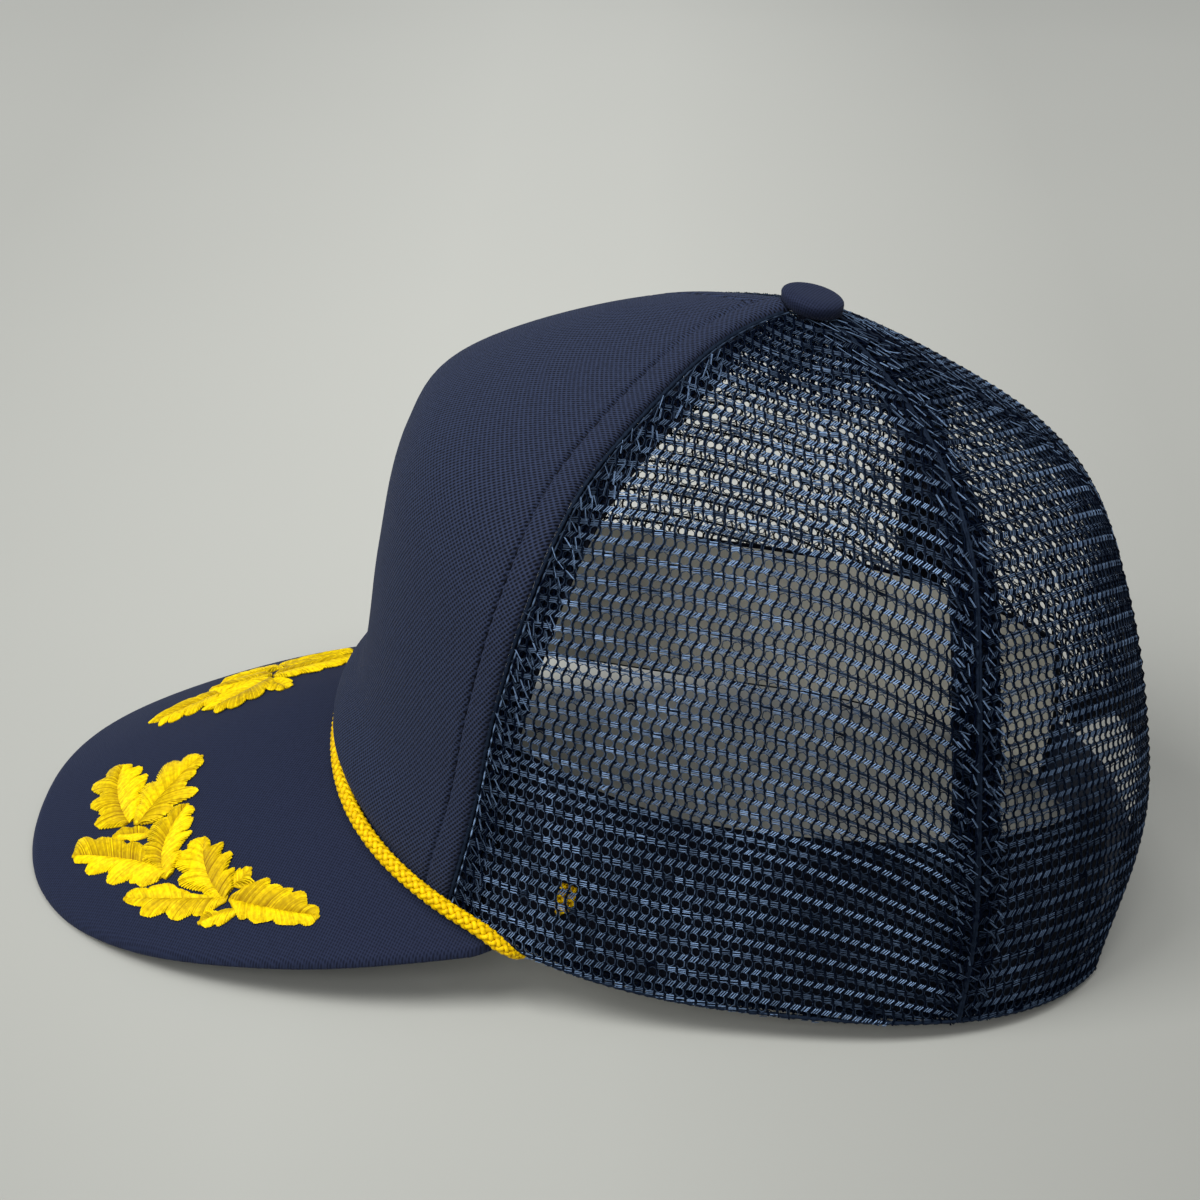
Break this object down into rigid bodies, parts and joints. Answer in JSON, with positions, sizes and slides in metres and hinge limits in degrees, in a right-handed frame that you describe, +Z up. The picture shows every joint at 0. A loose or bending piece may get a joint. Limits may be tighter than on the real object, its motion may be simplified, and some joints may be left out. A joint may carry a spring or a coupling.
{
  "type": "trucker cap",
  "caption": "Trucker cap with a foam-backed front, net crown, curved roped brim with stitched leaf sprays, and a snap strap.",
  "frame": {"origin": "under the middle of the cap's whole box, on the surface it rests on", "axes": "+Z up, brim towards -Y, the wearer's left side at +X"},
  "size_m": [0.164, 0.2884, 0.1605],
  "materials": {
    "foam_cloth": "navy knitted cloth with a fine slanting rib, bonded to pale foam, with a faint sheen",
    "net": "navy open knitted net of shiny plastic yarn",
    "tape": "dark navy woven tape, matte",
    "band_cloth": "dark navy brushed cotton, with a plain pale lining on its inner face",
    "gold_cord": "golden yellow braided cord with a silky sheen",
    "gold_thread": "bright yellow satin-stitched rayon thread",
    "strap": "smooth dark navy plastic with a soft gloss"
  },
  "bodies": {
    "root": {"front_panel": "foam_cloth", "brim": "foam_cloth", "top_button": "foam_cloth", "side_panel_left": "net", "side_panel_right": "net", "back_panel_left": "net", "back_panel_right": "net", "front_seam_tape_left": "tape", "front_seam_tape_right": "tape", "side_seam_tape_left": "tape", "side_seam_tape_right": "tape", "back_seam_tape": "tape", "arch_tape": "tape", "sweatband": "band_cloth", "rope": "gold_cord", "leaf_spray_left": "gold_thread", "leaf_spray_right": "gold_thread", "snap_strap": "strap"}
  },
  "joints": []
}
